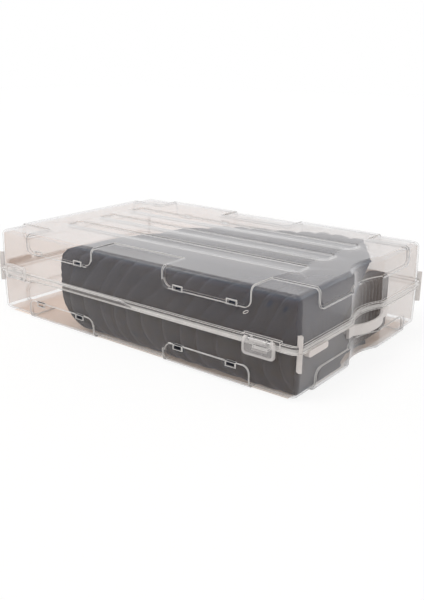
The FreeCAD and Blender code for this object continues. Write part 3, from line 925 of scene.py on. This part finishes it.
def oblong(half: tuple[float, float], radius: float, steps: int) -> list[tuple[Vector, Vector]]:
    """Evenly spaced points round an oblong with rounded corners.

    Args:
        half: Half its width and half its height.
        radius: Its corner radius.
        steps: The number of points.

    Returns:
        The points, each with the way out of the oblong there.
    """
    flat, tall = half[0] - radius, half[1] - radius
    quarter = 0.5 * math.pi * radius
    corners = ((flat, -tall, -0.5 * math.pi, 2.0 * tall), (flat, tall, 0.0, 2.0 * flat),
               (-flat, tall, 0.5 * math.pi, 2.0 * tall), (-flat, -tall, math.pi, 2.0 * flat))
    total, places = 4.0 * (quarter + flat + tall), []
    for step in range(steps):
        left = total * step / steps
        for wide, high, start, straight in corners:
            turn = start + min(left, quarter) / radius
            beyond = min(max(left - quarter, 0.0), straight)
            if left <= quarter + straight:
                break
            left -= quarter + straight
        out = Vector((math.cos(turn), math.sin(turn)))
        places.append((Vector((wide, high)) + radius * out + beyond * Vector((-out.y, out.x)), out))
    return places


def between(value: float, stations: Sequence[tuple[float, float]]) -> float:
    """Read a value off a line drawn through stations, level beyond its ends.

    Args:
        value: Where to read it.
        stations: Places with their values, in rising order.

    Returns:
        The value there.
    """
    for (low, first), (high, last) in zip(stations, stations[1:]):
        if value <= high:
            return first + (last - first) * max(value - low, 0.0) / (high - low)
    return stations[-1][1]


def bend(distance: float, radius: float) -> float:
    """How far a rounded end has fallen back, at a distance from its tip and for its radius."""
    away = 1.0 - min(max(distance / radius, 0.0), 1.0)
    return radius * (1.0 - math.sqrt(1.0 - away * away))


@dataclass
class PackedGarment:
    """A dark garment folded into the case: a thing carried, and no part of the case."""

    name: str = "garment_folded"
    finish: KnitCloth = DARK_KNIT
    left: float = -110.0 * MM
    right: float = 222.0 * MM
    front: float = -144.0 * MM
    back: float = 132.0 * MM
    low: float = 3.6 * MM
    high: float = 105.5 * MM
    depths: tuple[tuple[float, float], ...] = (
        (0.0, 0.06), (0.05, 0.22), (0.16, 0.64), (0.28, 0.82), (0.56, 0.91), (0.78, 1.0))
    head_radius: float = 15.0 * MM
    foot_radius: float = 38.0 * MM
    side_radius: float = 8.0 * MM
    scoop_depth: float = 10.5 * MM
    scoop_half: float = 42.0 * MM
    fold_from: float = 18.0 * MM
    fold_slope: float = 0.6
    crease_pitch: float = 25.0 * MM
    crease_depth: float = 3.4 * MM
    lean_from: float = 58.0 * MM
    lean_slope: float = 0.75
    billow_depth: float = 1.5 * MM
    scallop_pitch: float = 9.0 * MM
    scallop_depth: float = 1.8 * MM
    along: int = 330
    around: int = 260

    def right_limit(self, y: float) -> float:
        """Where it ends at the right: it keeps clear of the scoop, and its back corner is folded in."""
        scoop = self.scoop_depth * max(0.0, 1.0 - (y / self.scoop_half) ** 2) ** 0.5
        return self.right - max(scoop, self.fold_slope * max(0.0, y - self.fold_from))

    def crease(self, x: float, z: float) -> float:
        """How deep the cloth is drawn in: upright pleats below, and folds that lean to the right above.

        Args:
            x: The place along the case.
            z: Its height.

        Returns:
            The depth in metres.
        """
        slant = x - bend(z - self.low, self.foot_radius) - self.lean_slope * max(0.0, z - self.lean_from)
        slant += 5.0 * MM * math.sin(17.0 * x + 31.0 * z) + 3.5 * MM * math.sin(61.0 * x + 1.0)
        pleat = 1.0 - abs(math.sin(math.pi * slant / self.crease_pitch)) ** 0.45
        billow = 0.5 + 0.5 * math.sin(43.0 * x + 60.0 * z) * math.sin(27.0 * x - 75.0 * z)
        return self.crease_depth * pleat + self.billow_depth * billow

    def row(self, share: float) -> list[Vector]:
        """One ring of the skin.

        Args:
            share: How far along the garment it is, from 0 at the left to 1.

        Returns:
            Its points, folds and creases included.
        """
        run = share * (self.right - self.left)
        low = self.low + bend(run, self.foot_radius)
        high = self.high - bend(run, self.head_radius)
        depth = (self.back - self.front) * between(share, self.depths)
        half = (0.5 * depth, 0.5 * (high - low))
        corner = min(self.side_radius, 0.9 * half[0], 0.9 * half[1])
        points = []
        for place, out in oblong(half, corner, self.around):
            y, z = self.front + half[0] + place.x, 0.5 * (low + high) + place.y
            x = self.left + share * (self.right_limit(y) - self.left)
            inwards = self.crease(x, z) * min(1.0, 0.25 + run / (12.0 * MM))
            scallop = self.scallop_depth * abs(math.sin(math.pi * z / self.scallop_pitch))
            scallop *= max(0.0, 1.0 - run / (10.0 * MM))
            points.append(Vector((x - scallop, y - out.x * inwards, z - out.y * inwards)))
        return points

    def build(self) -> None:
        """Make the garment."""
        rows = [self.row(step / self.along) for step in range(self.along + 1)]
        close_skin(self.name, rows, self.finish)


@dataclass
class RibbedCuff:
    """The garment's ribbed cuff, which stands on edge behind the scoop."""

    name: str = "garment_cuff"
    finish: KnitCloth = CUFF_KNIT
    centre: tuple[float, float] = (200.0 * MM, 48.0 * MM)
    half: tuple[float, float] = (13.0 * MM, 42.0 * MM)
    low: float = 6.0 * MM
    high: float = 80.0 * MM
    rib_pitch: float = 9.0 * MM
    rib_depth: float = 3.2 * MM
    side_radius: float = 6.0 * MM
    foot_radius: float = 10.0 * MM
    head_radius: float = 8.0 * MM
    steps: int = 60
    around: int = 420

    def row(self, share: float) -> list[Vector]:
        """One ring of the cuff, its foot and head drawn in.

        Args:
            share: How far up the cuff it is, from 0 at the foot to 1.

        Returns:
            Its points, ribs included.
        """
        height = self.low + share * (self.high - self.low)
        draw = bend(height - self.low, self.foot_radius) + bend(self.high - height, self.head_radius)
        half = (self.half[0] - 0.6 * draw, self.half[1] - draw)
        points = []
        for place, out in oblong(half, self.side_radius, self.around):
            rib = self.rib_depth * (1.0 - abs(math.sin(math.pi * place.y / self.rib_pitch)) ** 0.7)
            x, y = self.centre[0] + place.x - out.x * rib, self.centre[1] + place.y
            points.append(Vector((x, y, height)))
        return points

    def build(self) -> None:
        """Make the cuff, its ribs standing upright."""
        rows = [self.row(step / self.steps) for step in range(self.steps + 1)]
        close_skin(self.name, rows, self.finish)


@dataclass
class Studio:
    """A white floor and surround, soft lamps and the camera."""

    azimuth: float = 37.85
    elevation: float = 16.45
    roll: float = 0.5
    distance: float = 0.9416
    lens: float = 43.8
    shift: tuple[float, float] = (0.0113, -0.041)
    ambient: float = 0.72
    floor_half: float = 6.0
    floor_height: float = -0.6 * MM
    floor_white: float = 0.86
    sheet_half: tuple[float, float] = (214.0 * MM, 140.0 * MM)
    sheet_height: float = -0.3 * MM
    sheet_painted_light: float = 0.24
    lamps: tuple[tuple[str, float, float, float, float], ...] = (
        ("key", -30.0, 58.0, 1.15, 24.0), ("fill", 75.0, 34.0, 0.55, 40.0))

    def build(self) -> None:
        """Make the setting and the camera."""
        scene = bpy.context.scene
        scene.view_settings.view_transform = "Standard"
        self.surround(scene)
        self.floor()
        self.underlay()
        for lamp in self.lamps:
            self.lamp(*lamp)
        self.camera(scene)

    def direction(self, azimuth: float, elevation: float) -> Vector:
        """The way from the case to a place seen at these angles."""
        round_it, over_it = math.radians(azimuth), math.radians(elevation)
        return Vector((math.sin(round_it) * math.cos(over_it), -math.cos(round_it) * math.cos(over_it),
                       math.sin(over_it)))

    def camera(self, scene: bpy.types.Scene) -> None:
        """The camera, turned about its own axis by the roll.

        Args:
            scene: The scene that it is made for.
        """
        back = self.direction(self.azimuth, self.elevation)
        right = Vector((0.0, 0.0, 1.0)).cross(back).normalized()
        up = back.cross(right)
        lie, lean = math.cos(math.radians(self.roll)), math.sin(math.radians(self.roll))
        data = bpy.data.cameras.new("camera")
        data.lens, data.sensor_width = self.lens, 36.0
        data.shift_x, data.shift_y = self.shift
        data.clip_start, data.clip_end = 0.01, 50.0
        made = bpy.data.objects.new("camera", data)
        scene.collection.objects.link(made)
        turn = Matrix((lie * right + lean * up, lie * up - lean * right, back)).transposed().to_4x4()
        made.matrix_world = Matrix.Translation(MIDDLE + back * self.distance) @ turn
        scene.camera = made

    def lamp(self, name: str, azimuth: float, elevation: float, strength: float, softness: float) -> None:
        """A far, soft lamp.

        Args:
            name: Its name.
            azimuth: Where it stands round the case, in degrees.
            elevation: How high it stands, in degrees.
            strength: Its strength.
            softness: How wide it looks from the case, in degrees.
        """
        data = bpy.data.lights.new(name, "SUN")
        data.energy, data.angle = strength, math.radians(softness)
        made = bpy.data.objects.new(name, data)
        made.rotation_euler = self.direction(azimuth, elevation).to_track_quat("Z", "Y").to_euler()
        bpy.context.scene.collection.objects.link(made)

    def seen(self, tree: Tree) -> bpy.types.NodeSocket:
        """A mask of the rays that show a surface to the camera, straight or by a mirror or glass."""
        path = tree.add("ShaderNodeLightPath")
        direct = tree.maths("MAXIMUM", path.outputs["Is Camera Ray"], path.outputs["Is Glossy Ray"])
        return tree.maths("MAXIMUM", direct, path.outputs["Is Transmission Ray"])

    def surround(self, scene: bpy.types.Scene) -> None:
        """A world that lights at a plain level and is seen as white.

        Args:
            scene: The scene that it is made for.
        """
        world = bpy.data.worlds.new("studio")
        scene.world = world
        world.use_nodes = True
        tree = Tree(world.node_tree)
        world.node_tree.nodes.clear()
        out = tree.add("ShaderNodeOutputWorld")
        mix = tree.add("ShaderNodeMixShader")
        light = tree.add("ShaderNodeBackground", Color=(1.0, 0.985, 0.97, 1.0), Strength=self.ambient)
        white = tree.add("ShaderNodeBackground", Color=(1.0, 1.0, 1.0, 1.0), Strength=1.0)
        tree.link(self.seen(tree), mix.inputs[0])
        tree.link(light.outputs[0], mix.inputs[1])
        tree.link(white.outputs[0], mix.inputs[2])
        tree.link(mix.outputs[0], out.inputs["Surface"])

    def plane(self, name: str, half_x: float, half_y: float, height: float, finish: str) -> None:
        """A level sheet of the setting.

        Args:
            name: Its name.
            half_x: Half its length.
            half_y: Half its width.
            height: How high it lies.
            finish: Its material's name.
        """
        mesh = bpy.data.meshes.new(name)
        mesh.from_pydata([(-half_x, -half_y, height), (half_x, -half_y, height),
                          (half_x, half_y, height), (-half_x, half_y, height)], [], [(0, 1, 2, 3)])
        mesh.materials.append(bpy.data.materials[finish])
        link_mesh(name, mesh)

    def floor(self) -> None:
        """A white floor that keeps a light shadow."""
        made = bpy.data.materials.new("floor_white")
        made.use_nodes = True
        tree = Tree(made.node_tree)
        made.node_tree.nodes.clear()
        out = tree.add("ShaderNodeOutputMaterial")
        mix = tree.add("ShaderNodeMixShader")
        dull = tree.add("ShaderNodeBsdfDiffuse", Color=(0.93, 0.92, 0.91, 1.0))
        white = tree.add("ShaderNodeEmission", Color=(1.0, 1.0, 1.0, 1.0), Strength=1.0)
        tree.link(tree.maths("MULTIPLY", self.seen(tree), self.floor_white), mix.inputs[0])
        tree.link(dull.outputs[0], mix.inputs[1])
        tree.link(white.outputs[0], mix.inputs[2])
        tree.link(mix.outputs[0], out.inputs["Surface"])
        self.plane("floor", self.floor_half, self.floor_half, self.floor_height, made.name)

    def underlay(self) -> None:
        """The warm sheet that the case lies on, no larger than the case, with a faint glow painted in as
        light.
        """
        tree, shader = new_surface("warm_sheet")
        shader.inputs["Roughness"].default_value = 0.9
        grain = tree.add("ShaderNodeTexNoise", Scale=14.0, Detail=5.0)
        place = tree.add("ShaderNodeTexCoord")
        tree.link(place.outputs["Object"], grain.inputs["Vector"])
        tint = tree.tinted(grain.outputs["Fac"], (0.95, 0.86, 0.78), (0.98, 0.91, 0.85))
        tree.link(tint, shader.inputs["Base Color"])
        # Painted light: the sheet glows a little, which lifts the shade that the case casts on it.
        shader.inputs["Emission Color"].default_value = (1.0, 0.86, 0.76, 1.0)
        shader.inputs["Emission Strength"].default_value = self.sheet_painted_light
        self.plane("warm_sheet", *self.sheet_half, self.sheet_height, "warm_sheet")


def main() -> None:
    """Build the case's looks, what lies in it and the studio."""
    logging.basicConfig(level=logging.INFO, format="%(name)s: %(message)s")
    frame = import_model()
    for half in Half:
        Shell(half).build(frame)
    GateMark().build()
    for side in ("right", "left"):
        Latch(side).build(frame)
    Strap().build(frame)
    SmallPieces().build(frame)
    PackedGarment().build()
    RibbedCuff().build()
    Studio().build()


if __name__ == "__main__":
    main()
